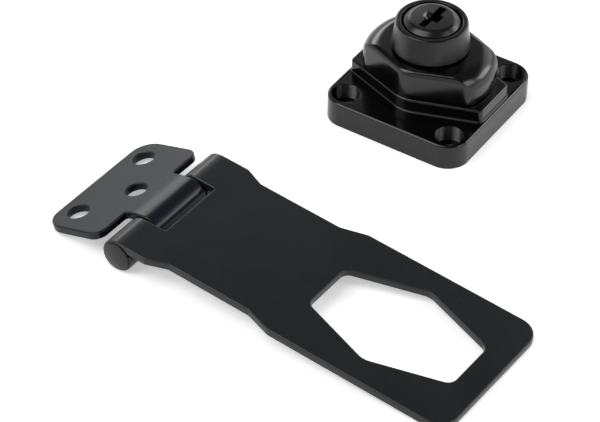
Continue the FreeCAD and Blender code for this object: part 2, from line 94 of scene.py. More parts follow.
def mixedColour(tree, share, first, second):  # each colour is a socket or three numbers
    node = newNode(tree, "ShaderNodeMix", data_type="RGBA")
    tree.links.new(share, node.inputs[0])
    for socket, colour in ((node.inputs[6], first), (node.inputs[7], second)):  # the sockets for colours
        if hasattr(colour, "is_output"):
            tree.links.new(colour, socket)
        else:
            socket.default_value = list(colour) + [1.0]
    return node.outputs[2]


def scaled(colour, factor):
    return [c * factor for c in colour]


# satin black coats: one look for each painted piece
coatLook = {
    "strap": {"colour": (0.0086, 0.0096, 0.0104), "roughness": 0.27, "gloss": 0.36, "grain": 0.05, "peel": 1.0},
    "leaf": {"colour": (0.0042, 0.0058, 0.0094), "roughness": 0.26, "gloss": 0.29, "grain": 0.05, "peel": 1.0},
    "base": {"colour": (0.0016, 0.0016, 0.0018), "roughness": 0.16, "gloss": 0.40, "grain": 0.06, "peel": 1.3},
    "knob": {"colour": (0.0011, 0.0011, 0.0013), "roughness": 0.17, "gloss": 0.48, "grain": 0.05, "peel": 1.2},
    "housing": {"colour": (0.0020, 0.0020, 0.0022), "roughness": 0.22, "gloss": 0.40, "grain": 0.06, "peel": 0.9},
    "plug": {"colour": (0.0024, 0.0024, 0.0026), "roughness": 0.27, "gloss": 0.50, "grain": 0.06, "peel": 0.9},
    "pin": {"colour": (0.0040, 0.0040, 0.0043), "roughness": 0.36, "gloss": 0.42, "grain": 0.06, "peel": 0.9},
}
turningMarks = {  # fine grooves left by the drill in the screw holes and by the lathe on the cone, in mm
    "base": {"pitch": 0.45, "holeSpacing": 15.8, "reach": 4.15, "top": 7.05, "tilt": 1.15, "shine": 0.072},
    "housing": {"pitch": 0.30, "holeSpacing": 0.0, "reach": 12.0, "top": 27.6, "tilt": 0.14},
}
coatDetail = {  # noises as (scale, detail); the rest says how far they change shade, gloss and surface
    "cloud": (55.0, 5.0), "darkShade": 0.82, "lightShade": 1.20, "smoother": -0.03, "rougher": 0.04,
    "speck": (5200.0, 1.0), "speckStart": 0.66, "speckEnd": 0.78, "speckShare": 0.45, "speckShade": 2.4,
    "peel": (900.0, 3.0), "grain": (4200.0, 2.0), "grainShare": 0.35, "depth": 0.00004,
}
metalDetail = {"streak": (1400.0, 4.0), "darkShade": 0.82, "smoother": -0.06, "rougher": 0.08,
               "strength": 0.12, "depth": 0.00002}


def grooveNodes(tree, place, marks):  # mask of the turned surface, and its normals with the grooves
    split = newNode(tree, "ShaderNodeSeparateXYZ")
    tree.links.new(place, split.inputs[0])
    away = [mathStep(tree, "SUBTRACT", mathStep(tree, "ABSOLUTE", split.outputs[axis]), marks["holeSpacing"] * mm)
            for axis in ("X", "Y")]
    squares = [mathStep(tree, "POWER", value, 2.0) for value in away]
    far = mathStep(tree, "SQRT", mathStep(tree, "ADD", *squares))
    inside = mathStep(tree, "MULTIPLY", mathStep(tree, "LESS_THAN", far, marks["reach"] * mm),
                      mathStep(tree, "LESS_THAN", split.outputs["Z"], marks["top"] * mm))
    turns = mathStep(tree, "SINE", mathStep(tree, "MULTIPLY", split.outputs["Z"],
                                            2 * math.pi / (marks["pitch"] * mm)))
    groove = newNode(tree, "ShaderNodeBump")
    groove.inputs["Distance"].default_value = marks["tilt"] * marks["pitch"] * mm / (2 * math.pi)
    tree.links.new(mathStep(tree, "MULTIPLY", turns, inside), groove.inputs["Height"])
    return inside, groove.outputs["Normal"]


def newFinish(name):  # material with its tree, its shader and the piece's own coordinates
    material = bpy.data.materials.new(name)
    material.use_nodes = True
    tree = material.node_tree
    return material, tree, tree.nodes["Principled BSDF"], newNode(tree, "ShaderNodeTexCoord").outputs["Object"]


def satinCoat(name, look, marks=None):
    material, tree, shader, place = newFinish(name)
    d = coatDetail
    shader.inputs["Specular IOR Level"].default_value = look["gloss"]
    cloud = noiseOn(tree, place, *d["cloud"])  # slow change of shade and gloss
    shade = mixedColour(tree, cloud, scaled(look["colour"], d["darkShade"]), scaled(look["colour"], d["lightShade"]))
    specks = mapped(tree, noiseOn(tree, place, *d["speck"]), 0.0, d["speckShare"], d["speckStart"], d["speckEnd"])
    colour = mixedColour(tree, specks, shade, scaled(look["colour"], d["speckShade"]))  # single lighter grains
    rough = mapped(tree, cloud, look["roughness"] + d["smoother"], look["roughness"] + d["rougher"])
    peel = noiseOn(tree, place, d["peel"][0] * look["peel"], d["peel"][1])  # orange peel of the coat
    grain = noiseOn(tree, place, *d["grain"])
    bump = newNode(tree, "ShaderNodeBump")
    bump.inputs["Strength"].default_value = look["grain"]
    bump.inputs["Distance"].default_value = d["depth"]
    tree.links.new(mathStep(tree, "MULTIPLY_ADD", grain, d["grainShare"], peel), bump.inputs["Height"])
    if marks:
        inside, normal = grooveNodes(tree, place, marks)
        tree.links.new(normal, bump.inputs["Normal"])
        if "shine" in marks:  # cut metal under a thin dark coat
            colour = mixedColour(tree, inside, colour, [marks["shine"]] * 3)
            tree.links.new(inside, shader.inputs["Metallic"])
    tree.links.new(colour, shader.inputs["Base Color"])
    tree.links.new(rough, shader.inputs["Roughness"])
    tree.links.new(bump.outputs["Normal"], shader.inputs["Normal"])
    return material


def bareMetal(name, colour, roughness):
    material, tree, shader, place = newFinish(name)
    d = metalDetail
    shader.inputs["Metallic"].default_value = 1.0
    streak = noiseOn(tree, place, *d["streak"])
    tree.links.new(mixedColour(tree, streak, scaled(colour, d["darkShade"]), colour), shader.inputs["Base Color"])
    tree.links.new(mapped(tree, streak, roughness + d["smoother"], roughness + d["rougher"]),
                   shader.inputs["Roughness"])
    bump = newNode(tree, "ShaderNodeBump")
    bump.inputs["Strength"].default_value = d["strength"]
    bump.inputs["Distance"].default_value = d["depth"]
    tree.links.new(streak, bump.inputs["Height"])
    tree.links.new(bump.outputs["Normal"], shader.inputs["Normal"])
    return material


coats = {key: satinCoat(key + "Coat", look, turningMarks.get(key)) for key, look in coatLook.items()}
brass = bareMetal("stampedBrass", (0.72, 0.53, 0.26), 0.34)
springSteel = bareMetal("springSteel", (0.56, 0.56, 0.58), 0.30)
zincSteel = bareMetal("zincPlatedSteel", (0.62, 0.63, 0.66), 0.32)
for name, node in nodes.items():
    node.data.materials.clear()
    node.data.materials.append(brass if name.startswith("wafer_") else springSteel)
print("coats and metals made")


def softNormals(mesh, limit=38.0):  # smooths curved faces, keeps flats flat and sharp edges sharp
    cosine = math.cos(math.radians(limit))
    for face in mesh.polygons:
        face.use_smooth = True
    around = [[] for _ in mesh.vertices]
    for face in mesh.polygons:
        for v in face.vertices:
            around[v].append(face.index)
    normals = [face.normal.copy() for face in mesh.polygons]
    areas = [max(face.area, 1e-12) for face in mesh.polygons]
    corners = [None] * len(mesh.loops)
    for face in mesh.polygons:
        own = normals[face.index]
        for corner in face.loop_indices:
            total = Vector((0.0, 0.0, 0.0))
            for other in around[mesh.loops[corner].vertex_index]:
                if own.dot(normals[other]) > cosine:
                    total += normals[other] * areas[other]
            corners[corner] = total.normalized() if total.length > 0 else own
    mesh.normals_split_custom_set(corners)


def addPiece(name, mesh, material, body, slot, *replaced):
    piece = bpy.data.objects.new(name, mesh)
    bpy.context.scene.collection.objects.link(piece)
    mesh.materials.clear()
    mesh.materials.append(material)
    softNormals(mesh)
    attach(piece, body)
    if replaced:
        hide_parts(*replaced)


def meshOf(name, points, faces):  # points in mm; doubles merged and faces turned outwards
    mesh = bpy.data.meshes.new(name)
    mesh.from_pydata([Vector(p) * mm for p in points], [], faces)
    tidyMesh(mesh)
    return mesh


weldDistance = 2e-7  # in metres


def tidyMesh(mesh, flat=0.0):  # welds doubles, joins faces within flat degrees of one plane, turns faces outwards
    work = bmesh.new()
    work.from_mesh(mesh)
    bmesh.ops.remove_doubles(work, verts=work.verts[:], dist=weldDistance)
    if flat:
        bmesh.ops.dissolve_limit(work, angle_limit=math.radians(flat), use_dissolve_boundaries=False,
                                 verts=work.verts[:], edges=work.edges[:])
    bmesh.ops.recalc_face_normals(work, faces=work.faces[:])
    work.to_mesh(mesh)
    work.free()


def cadCopy(name, node):  # merged copy of a solid's mesh, left where it is
    mesh = nodes[node].data.copy()
    mesh.name = name
    tidyMesh(mesh, 0.3)
    return mesh


def plainMesh(piece):  # result of a piece's modifiers, as a mesh without them
    bpy.context.view_layer.update()
    graph = bpy.context.evaluated_depsgraph_get()
    mesh = bpy.data.meshes.new_from_object(piece.evaluated_get(graph), preserve_all_data_layers=True,
                                           depsgraph=graph)
    piece.modifiers.clear()
    bpy.data.objects.remove(piece)
    return mesh


def looseObject(name, mesh):
    piece = bpy.data.objects.new(name, mesh)
    bpy.context.scene.collection.objects.link(piece)
    return piece


def cutMesh(mesh, tools, operation="DIFFERENCE"):  # cuts a mesh by a list of other meshes
    piece = looseObject("cutting", mesh)
    holders = []
    for tool in tools:
        holder = looseObject("tool", tool)
        holders.append(holder)
        cut = piece.modifiers.new("cut", "BOOLEAN")
        cut.operation = operation
        cut.solver = "EXACT"
        cut.object = holder
    result = plainMesh(piece)
    for holder in holders:
        bpy.data.objects.remove(holder)
    tidyMesh(result, 0.2)
    return result


def joinedMesh(name, *meshes):  # several meshes side by side in one
    work = bmesh.new()
    for mesh in meshes:
        work.from_mesh(mesh)
    joined = bpy.data.meshes.new(name)
    work.to_mesh(joined)
    work.free()
    return joined


def prismMesh(name, outline, z0, z1):  # upright prism over a closed outline
    n = len(outline)
    points = [(p.x, p.y, z0) for p in outline] + [(p.x, p.y, z1) for p in outline]
    faces = [(i, (i + 1) % n, n + (i + 1) % n, n + i) for i in range(n)]
    faces += [tuple(reversed(range(n))), tuple(range(n, 2 * n))]
    return meshOf(name, points, faces)


def roundedOutline(corners, degrees=6.0):  # closed outline through (x, y, radius) corners
    points = []
    count = len(corners)
    for i in range(count):
        x, y, radius = corners[i]
        corner = Vector((x, y))
        before = (Vector(corners[i - 1][:2]) - corner).normalized()
        after = (Vector(corners[(i + 1) % count][:2]) - corner).normalized()
        if radius <= 0:
            points.append(corner)
            continue
        half = before.angle(after) / 2
        centre = corner + (before + after).normalized() * (radius / math.sin(half))
        start = corner + before * (radius / math.tan(half)) - centre
        turn = math.pi - 2 * half
        side = 1 if before.x * after.y - before.y * after.x < 0 else -1
        steps = max(2, math.ceil(math.degrees(turn) / degrees))
        for k in range(steps + 1):
            a = side * turn * k / steps
            points.append(centre + Vector((start.x * math.cos(a) - start.y * math.sin(a),
                                           start.x * math.sin(a) + start.y * math.cos(a))))
    return [p for i, p in enumerate(points) if (p - points[i - 1]).length > 1e-4]


def ring(x, y, radius, sides=56):  # clockwise, as holes are
    return [Vector((x + radius * math.cos(a), y + radius * math.sin(a)))
            for a in (-2 * math.pi * k / sides for k in range(sides))]


def insetLoop(points, distance):  # towards the material, which lies on the left of the loop
    moved = []
    count = len(points)
    for i in range(count):
        a = (points[i] - points[i - 1]).normalized()
        b = (points[(i + 1) % count] - points[i]).normalized()
        na = Vector((-a.y, a.x))
        middle = (na + Vector((-b.y, b.x))).normalized()
        moved.append(points[i] + middle * (distance / max(middle.dot(na), 0.3)))
    return moved


def insideLoops(point, loops):  # inside the outer loop and outside every hole
    inside = False
    for loop in loops:
        for i in range(len(loop)):
            a, b = loop[i - 1], loop[i]
            if (a.y > point.y) != (b.y > point.y):
                if point.x < a.x + (point.y - a.y) / (b.y - a.y) * (b.x - a.x):
                    inside = not inside
    return inside


def fillLoops(loops, crossings=()):  # triangles of the flat between the loops, as indices into their points
    points = [p for loop in loops for p in loop]
    edges = []
    start = 0
    for loop in loops:
        edges += [(start + i, start + (i + 1) % len(loop)) for i in range(len(loop))]
        start += len(loop)
    verts, _, faces, origins, _, _ = delaunay_2d_cdt(points, edges + list(crossings), [], 0, 1e-7)
    chosen = []
    for face in faces:
        middle = sum((verts[v] for v in face), Vector((0.0, 0.0))) / len(face)
        if insideLoops(middle, loops):
            chosen.append([origins[v][0] for v in face])
    return chosen


def edgeProfile(thickness, top, bottom, steps=4):  # (inset, height), from the lower face round to the upper one
    profile = []
    for k in range(steps + 1):
        a = math.pi / 2 * k / steps
        profile.append((bottom - bottom * math.sin(a), bottom - bottom * math.cos(a)))
    for k in range(steps + 1):
        a = math.pi / 2 * k / steps
        profile.append((top - top * math.cos(a), thickness - top + top * math.sin(a)))
    return profile


def sheetMesh(name, loops, crossings, sheet, place):  # bent sheet with rolled edges
    profile = edgeProfile(sheet["thickness"], sheet["topEdge"], sheet["lowEdge"])
    points = []
    faces = []
    rims = []
    for inset, height in profile:
        rows = [insetLoop(loop, inset) for loop in loops]
        rims.append(len(points))
        points += [place(p.x, p.y, height) for row in rows for p in row]
    for level, following in zip(rims, rims[1:]):
        start = 0
        for loop in loops:
            n = len(loop)
            for i in range(n):
                a, b = start + i, start + (i + 1) % n
                faces.append((level + a, level + b, following + b, following + a))
            start += n
    low = fillLoops([insetLoop(loop, profile[0][0]) for loop in loops], crossings)
    high = fillLoops([insetLoop(loop, profile[-1][0]) for loop in loops], crossings)
    faces += [tuple(rims[-1] + v for v in face) for face in high]
    faces += [tuple(rims[0] + v for v in reversed(face)) for face in low]
    return meshOf(name, points, faces)


# hinge: sheet rolled round the pin, strap on one side and leaf on the other
hinge = {"place": (-28.6, -77.7), "turn": -2.6, "barrelRadius": 4.38, "sheet": 2.0,
         "curl": 298.0, "curlSteps": 44, "flatStart": 6.0, "easeSteps": 10, "cornerGap": 0.8}
sheetLook = {"thickness": hinge["sheet"], "topEdge": 0.42, "lowEdge": 0.16}
strap = {"length": 96.7, "width": 42.4, "waist": 37.8, "shoulder": (8.6, 14.2), "flare": (38.6, 45.8),
         "bend": 4.0, "shoulderBend": 1.4, "corner": 5.5, "ease": (16.0, 8.0),
         "slotDepth": 6.3, "slotHalf": 10.0, "slotCorner": 0.5,
         "opening": {"middle": 68.9, "length": 41.4, "middleWidth": 28.8, "endWidth": 15.2,
                     "middleRadius": 5.0, "corner": 2.6}}
leaf = {"length": 24.1, "width": 40.8, "knuckle": 19.0, "shoulder": 5.4, "ease": (22.0, 12.0),
        "farCorner": 5.6, "nearCorner": 3.2, "knuckleCorner": 0.8, "knuckleGap": 0.9,
        "holeRadius": 2.9, "holes": ((-18.3, -13.1), (-18.3, 13.1), (-9.8, 0.0))}


def leanAngle(plate):  # slope of a plate whose barrel and far edge both lie on the floor
    radius, degrees = plate["ease"]  # gentle bend between the plate and its curl
    rise = (radius - hinge["barrelRadius"]) * (1 - math.cos(math.radians(degrees)))
    inner = hinge["barrelRadius"] - hinge["sheet"] + rise
    return (math.asin(hinge["barrelRadius"] / math.hypot(plate["length"], inner))
            + math.atan2(inner, plate["length"]))


def hingeMatrix(lean):
    x, y = hinge["place"]
    return (Matrix.Translation((x, y, hinge["barrelRadius"]))
            @ Matrix.Rotation(math.radians(hinge["turn"]), 4, "Z") @ Matrix.Rotation(lean, 4, "Y"))


def rolledPlace(side, lean, bend):
    # way from the flat blank to the bent sheet; side 1: the barrel lies before the plate, -1: after it
    matrix = hingeMatrix(lean)
    inner = hinge["barrelRadius"] - hinge["sheet"]
    middle = hinge["barrelRadius"] - hinge["sheet"] / 2
    ease = math.radians(bend[1])
    shift = bend[0] - hinge["barrelRadius"]
    easeLength = ease * (middle + shift)

    def place(u, v, w):
        radius = inner + w
        past = -u * side
        back = ease * middle - past  # way back from the end of the tight curl
        if back <= 0:
            angle = math.pi / 2 + side * past / middle
            return matrix @ Vector((radius * math.cos(angle), v, radius * math.sin(angle)))
        turn = ease * max(0.0, 1 - back / easeLength)
        beyond = max(0.0, back - easeLength)
        x = side * shift * math.sin(ease) - side * (radius + shift) * math.sin(turn) + side * beyond
        z = (radius + shift) * math.cos(turn) - shift * math.cos(ease)
        return matrix @ Vector((x, v, z))
    return place


def curlStations():  # distances along the blank at which it is bent
    blank = math.radians(hinge["curl"]) * (hinge["barrelRadius"] - hinge["sheet"] / 2)
    return [blank * k / hinge["curlSteps"] for k in range(hinge["curlSteps"] + 1)]


def plateStations():  # the same on the plate side, from the first bend to the flat
    steps = hinge["easeSteps"]
    return [hinge["flatStart"] * (steps - k) / steps for k in range(steps + 1)]


def crossLines(loop, stations, bands):  # joins the two sides of each knuckle at every bend
    found = []
    for low, high in bands:
        for u in stations:
            pair = [i for i, p in enumerate(loop) if abs(p.x - u) < 1e-5 and low - 1e-3 < p.y < high + 1e-3]
            if len(pair) == 2:
                found.append(tuple(pair))
    return found


def makeStrap():
    half, waist, gap = strap["width"] / 2, strap["waist"] / 2, strap["slotHalf"]
    bend, tight = strap["bend"], strap["shoulderBend"]
    near = plateStations() + [-u for u in curlStations()[1:]]
    side = [(hinge["flatStart"], half, 0),
            (strap["shoulder"][0], half, tight), (strap["shoulder"][1], waist, tight),
            (strap["flare"][0], waist, bend), (strap["flare"][1], half, bend),
            (strap["length"], half, strap["corner"])]
    corners = [(u, -half, 0) for u in reversed(near[1:])] + [(x, -y, r) for x, y, r in side]
    corners += list(reversed(side)) + [(u, half, 0) for u in near[1:]]
    depth, corner = strap["slotDepth"], strap["slotCorner"]
    inside = [u for u in near if u < depth - hinge["cornerGap"]]
    corners += [(u, gap, 0) for u in reversed(inside)] + [(depth, gap, corner)]
    corners += [(depth, -gap, corner)] + [(u, -gap, 0) for u in inside]
    outer = roundedOutline(corners)
    opening = strap["opening"]
    h, m, e = opening["length"] / 2, opening["middleWidth"] / 2, opening["endWidth"] / 2
    c, r = opening["corner"], opening["middleRadius"]
    cut = [(h, -e, c), (h, e, c), (0, m, r), (-h, e, c), (-h, -e, c), (0, -m, r)]
    hole = list(reversed(roundedOutline([(x + opening["middle"], y, k) for x, y, k in cut])))
    lines = crossLines(outer, near[:-1], ((-half, -gap), (gap, half)))
    mesh = sheetMesh("hingeStrap", [outer, hole], lines, sheetLook,
                     rolledPlace(1, leanAngle(strap), strap["ease"]))
    addPiece("hingeStrap", mesh, coats["strap"], "base", "strap_coat", "hinge_strap")


def makeLeaf():
    half, knuckle = leaf["width"] / 2, leaf["knuckle"] / 2
    near = [-u for u in plateStations()] + curlStations()[1:]
    near = [u for u in near if u > -leaf["shoulder"] + leaf["knuckleGap"]]
    side = [(-leaf["shoulder"], knuckle, leaf["knuckleCorner"]), (-leaf["shoulder"], half, leaf["nearCorner"]),
            (-leaf["length"], half, leaf["farCorner"])]
    corners = side + [(x, -y, r) for x, y, r in reversed(side)]
    corners += [(u, -knuckle, 0) for u in near] + [(u, knuckle, 0) for u in reversed(near)]
    outer = roundedOutline(corners)
    holes = [ring(x, y, leaf["holeRadius"]) for x, y in leaf["holes"]]
    lines = crossLines(outer, near[:-1], ((-knuckle, knuckle),))
    mesh = sheetMesh("hingeLeaf", [outer] + holes, lines, sheetLook,
                     rolledPlace(-1, -leanAngle(leaf), leaf["ease"]))
    addPiece("hingeLeaf", mesh, coats["leaf"], "leaf", "leaf_coat", "hinge_leaf")


makeStrap()
makeLeaf()
print("strap and leaf rolled")


def startTree(name, sockets, result):  # new Geometry Nodes tree with named inputs
    tree = bpy.data.node_groups.new(name, "GeometryNodeTree")
    for label, kind, value in sockets:
        socket = tree.interface.new_socket(label, in_out="INPUT", socket_type="NodeSocket" + kind)
        if value is not None:
            socket.default_value = value
    tree.interface.new_socket(result, in_out="OUTPUT", socket_type="NodeSocketGeometry")
    return tree, newNode(tree, "NodeGroupInput")


def endTree(tree, given, geometry):  # real geometry, with its finish
    real = newNode(tree, "GeometryNodeRealizeInstances")
    tree.links.new(geometry, real.inputs[0])
    finish = newNode(tree, "GeometryNodeSetMaterial")
    tree.links.new(real.outputs[0], finish.inputs["Geometry"])
    tree.links.new(given.outputs["Finish"], finish.inputs["Material"])
    out = newNode(tree, "NodeGroupOutput")
    tree.links.new(finish.outputs[0], out.inputs[0])
    return tree


# turned pieces: a Geometry Nodes tree turns a half profile about the upright axis
def turnedTree():
    tree, given = startTree("turnedPiece", (
        ("Profile", "Geometry", None), ("Radius", "Float", 0.01), ("Height", "Float", 0.01),
        ("Lift", "Float", 0.0), ("Wave Height", "Float", 0.0), ("Waves", "Int", 0),
        ("Sides", "Int", 96), ("Finish", "Material", None)), "Piece")
    size = newNode(tree, "GeometryNodeAttributeDomainSize")
    tree.links.new(given.outputs["Profile"], size.inputs[0])
    rows = size.outputs["Point Count"]
    grid = newNode(tree, "GeometryNodeMeshGrid")
    tree.links.new(mathStep(tree, "ADD", given.outputs["Sides"], 1.0), grid.inputs["Vertices X"])
    tree.links.new(rows, grid.inputs["Vertices Y"])
    index = newNode(tree, "GeometryNodeInputIndex").outputs[0]
    column = mathStep(tree, "FLOOR", mathStep(tree, "DIVIDE", index, rows))
    row = mathStep(tree, "SUBTRACT", index, mathStep(tree, "MULTIPLY", column, rows))
    angle = mathStep(tree, "DIVIDE", mathStep(tree, "MULTIPLY", column, 2 * math.pi), given.outputs["Sides"])
    sample = newNode(tree, "GeometryNodeSampleIndex", data_type="FLOAT_VECTOR", domain="POINT")
    tree.links.new(given.outputs["Profile"], sample.inputs["Geometry"])
    tree.links.new(newNode(tree, "GeometryNodeInputPosition").outputs[0], sample.inputs["Value"])
    tree.links.new(row, sample.inputs["Index"])
    split = newNode(tree, "ShaderNodeSeparateXYZ")
    tree.links.new(sample.outputs[0], split.inputs[0])
    radius = mathStep(tree, "MULTIPLY", split.outputs["X"], given.outputs["Radius"])
    level = mathStep(tree, "MULTIPLY_ADD", split.outputs["Z"], given.outputs["Height"], given.outputs["Lift"])
    waves = mathStep(tree, "COSINE", mathStep(tree, "MULTIPLY", angle, given.outputs["Waves"]))
    swing = mathStep(tree, "ADD", waves, 1.0)
    place = newNode(tree, "ShaderNodeCombineXYZ")
    tree.links.new(mathStep(tree, "MULTIPLY", radius, mathStep(tree, "COSINE", angle)), place.inputs[0])
    tree.links.new(mathStep(tree, "MULTIPLY", radius, mathStep(tree, "SINE", angle)), place.inputs[1])
    tree.links.new(mathStep(tree, "MULTIPLY_ADD", swing, given.outputs["Wave Height"], level), place.inputs[2])
    shift = newNode(tree, "GeometryNodeSetPosition")
    tree.links.new(grid.outputs["Mesh"], shift.inputs["Geometry"])
    tree.links.new(place.outputs[0], shift.inputs["Position"])
    weld = newNode(tree, "GeometryNodeMergeByDistance")
    weld.inputs["Distance"].default_value = 1e-6
    tree.links.new(shift.outputs[0], weld.inputs[0])
    return endTree(tree, given, weld.outputs[0])


def treeMesh(name, tree, profileMesh, settings):  # runs a tree on a piece and returns the plain mesh
    piece = looseObject(name, profileMesh)
    run = piece.modifiers.new("tree", "NODES")
    run.node_group = tree
    for item in tree.interface.items_tree:
        if item.in_out == "INPUT" and item.name in settings:
            run[item.identifier] = settings[item.name]
    mesh = plainMesh(piece)
    tidyMesh(mesh)
    return mesh


turning = turnedTree()


def turnedMesh(name, corners, material, sides=128, closed=False, waves=(0, 0.0)):
    # corners as (radius, height, rounding) in mm, from the lower end of the axis outwards and up
    outline = roundedOutline(corners, 9.0)
    if closed:
        outline.append(outline[0])
    radius = max(p.x for p in outline)
    low = min(p.y for p in outline)
    height = max(p.y for p in outline) - low
    profile = bpy.data.meshes.new(name)
    line = [(max(p.x, 0.0) / radius, 0.0, (p.y - low) / height) for p in outline]
    profile.from_pydata(line, [(i, i + 1) for i in range(len(line) - 1)], [])
    return treeMesh(name, turning, profile, {
        "Radius": radius * mm, "Height": height * mm, "Lift": low * mm, "Sides": sides,
        "Waves": waves[0], "Wave Height": waves[1] * mm, "Finish": material})


# cylinder housing: cone round the plug, with a tube that goes down into the knob
housing = {"foot": 10.4, "footLevel": 20.4, "rim": 9.5, "rimLevel": 27.9, "seat": 9.6, "seatLevel": 19.9,
           "recess": 8.02, "recessFloor": 24.3, "tube": 7.2, "bore": 6.06, "low": 7.7}


def makeHousing():
    h = housing
    mesh = turnedMesh("cylinderHousing", [
        (h["bore"], h["low"], 0), (h["tube"], h["low"], 0.2), (h["tube"], h["seatLevel"], 0),
        (h["seat"], h["seatLevel"], 0), (h["seat"], h["footLevel"], 0), (h["foot"], h["footLevel"], 0.25),
        (h["rim"], h["rimLevel"], 0.55), (h["recess"], h["rimLevel"], 0.3),
        (h["recess"], h["recessFloor"], 0), (h["bore"], h["recessFloor"], 0)], coats["housing"], closed=True)
    addPiece("cylinderHousing", mesh, coats["housing"], "knob", "housing_coat", "cylinder_housing")


# plug: soft domed face with the keyway, a slanting half-moon pocket beside it, and the drive pin below
plug = {"head": 7.45, "headLow": 24.4, "edge": 27.7, "face": 29.05, "flank": (6.1, 28.88), "soft": 1.9,
        "body": 6.0, "tail": 5.0, "tailLow": 6.1, "clipLow": 6.9, "clipHigh": 7.55, "groove": 4.2, "bodyLow": 7.7,
        "pocket": {"x": -1.95, "y": 0.1, "sink": 0.55, "radius": 1.25, "height": 3.0, "lean": 45.0},
        "drive": {"offset": 2.0, "angle": -135.0, "radius": 1.0, "low": 3.1, "overlap": 0.4}, "slotLow": 8.3,
        "keyway": ((-1.1, -5.0, 0.3), (0.8, -5.0, 0.3), (0.8, -1.6, 0.15), (2.5, -1.6, 0.3), (2.5, 1.7, 0.3),
                   (1.5, 1.7, 0.15), (1.5, 5.1, 0.3), (-0.6, 5.1, 0.3), (-0.6, 0.4, 0.15), (-1.1, 0.4, 0.15))}


def makePlug():
    p = plug
    mesh = turnedMesh("cylinderPlug", [
        (0, p["tailLow"], 0), (p["tail"], p["tailLow"], 0.2), (p["tail"], p["clipLow"], 0),
        (p["groove"], p["clipLow"], 0), (p["groove"], p["clipHigh"], 0),
        (p["tail"], p["clipHigh"], 0), (p["tail"], p["bodyLow"], 0),
        (p["body"], p["bodyLow"], 0.15), (p["body"], p["headLow"], 0), (p["head"], p["headLow"], 0.15),
        (p["head"], p["edge"], 0.4), (p["flank"][0], p["flank"][1], p["soft"]),
        (0, p["face"], 0)], coats["plug"])
    pocket = p["pocket"]
    sink = turnedMesh("pocketTool", [(0, 0, 0), (pocket["radius"], 0, 0.3), (pocket["radius"], pocket["height"], 0),
                                     (0, pocket["height"], 0)], coats["plug"], 64)
    sink.transform(Matrix.Translation((pocket["x"] * mm, pocket["y"] * mm, (p["face"] - pocket["sink"]) * mm))
                   @ Matrix.Rotation(math.radians(pocket["lean"]), 4, "Y"))
    slot = prismMesh("slotTool", roundedOutline(p["keyway"], 15.0), p["slotLow"], p["face"] + 1)
    mesh = cutMesh(mesh, [sink, slot])
    drive = p["drive"]
    a = math.radians(drive["angle"])
    high = p["tailLow"] + drive["overlap"]
    pin = turnedMesh("drivePin", [(0, drive["low"], 0), (drive["radius"], drive["low"], 0.15),
                                  (drive["radius"], high, 0), (0, high, 0)], coats["plug"], 48)
    pin.transform(Matrix.Translation((drive["offset"] * math.cos(a) * mm, drive["offset"] * math.sin(a) * mm, 0)))
    mesh = joinedMesh("cylinderPlug", mesh, pin)
    addPiece("cylinderPlug", mesh, coats["plug"], "plug", "plug_coat", "cylinder_plug")


# hinge pin: shank through the barrels and a low domed head at the front
pinLook = {"radius": 2.3, "head": 3.9, "headHeight": 0.8, "dome": 0.45, "domeSteps": 8, "rimDrop": 1.25,
           "front": -21.3, "end": 21.9, "rim": 0.4}


def makePin():
    p = pinLook
    crown = p["front"] - p["headHeight"]
    reach = p["head"] - p["rim"]
    steps = p["domeSteps"]
    corners = [(reach * k / steps, crown + p["dome"] * (k / steps) ** 2, 0) for k in range(steps)]
    corners += [(p["head"], crown + p["dome"] * p["rimDrop"], p["rim"]), (p["head"], p["front"], 0.12),
                (p["radius"], p["front"], 0), (p["radius"], p["end"], 0.3), (0, p["end"], 0)]
    mesh = turnedMesh("hingePin", corners, coats["pin"], 96)
    turn = Matrix.Rotation(math.radians(-90), 4, "X")
    matrix = hingeMatrix(0.0)
    matrix.translation = matrix.translation * mm
    mesh.transform(matrix @ turn)
    addPiece("hingePin", mesh, coats["pin"], "base", "pin_coat", "hinge_pin")


makeHousing()
makePlug()
makePin()
print("housing, plug and pin turned")


# knob: domed grip cut by two blunt planes at the front and two at the back, on the spindle of the solid
knob = {"radius": 18.0, "low": 11.1, "top": 19.9, "shoulder": 4.7, "drop": 4.4,
        "middleWidth": 27.6, "endWidth": 13.6, "middleRadius": 7.0, "cornerRadius": 4.8, "endSteps": 14,
        "crease": 1.7, "leastCrease": 0.04, "fade": 3.6, "creaseSteps": 7,
        "core": 9.3, "rings": 30, "wallSteps": 5, "run": 0.7, "lowEdge": 0.35,
        "innerRadius": 9.85, "innerLow": 0.5, "innerTop": 19.88}


def gripOutline():
    k = knob
    slope = (k["middleWidth"] - k["endWidth"]) / 2 / k["radius"]
    middle = k["middleWidth"] / 2
    # the corner where a front plane meets the round end
    a = 1 + slope * slope
    b = -2 * slope * middle
    c = middle * middle - k["radius"] ** 2
    x = (-b + math.sqrt(b * b - 4 * a * c)) / (2 * a)
    y = middle - slope * x
    reach = math.degrees(math.atan2(y, x))
    steps = k["endSteps"]  # the first and last two leave room for the rounded corners
    arc = [math.radians(-reach + 2 * reach * i / steps) for i in range(2, steps - 1)]
    right = [(k["radius"] * math.cos(t), k["radius"] * math.sin(t), 0) for t in arc]
    half = [(x, -y, k["cornerRadius"])] + right + [(x, y, k["cornerRadius"]), (0, middle, k["middleRadius"])]
    outline = roundedOutline(half + [(-px, -py, r) for px, py, r in half], 7.0)
    filled = []
    for i, p in enumerate(outline):  # long straight runs get points of their own
        following = outline[(i + 1) % len(outline)]
        parts = max(1, math.ceil((following - p).length / k["run"]))
        filled += [p.lerp(following, s / parts) for s in range(parts)]
    return filled


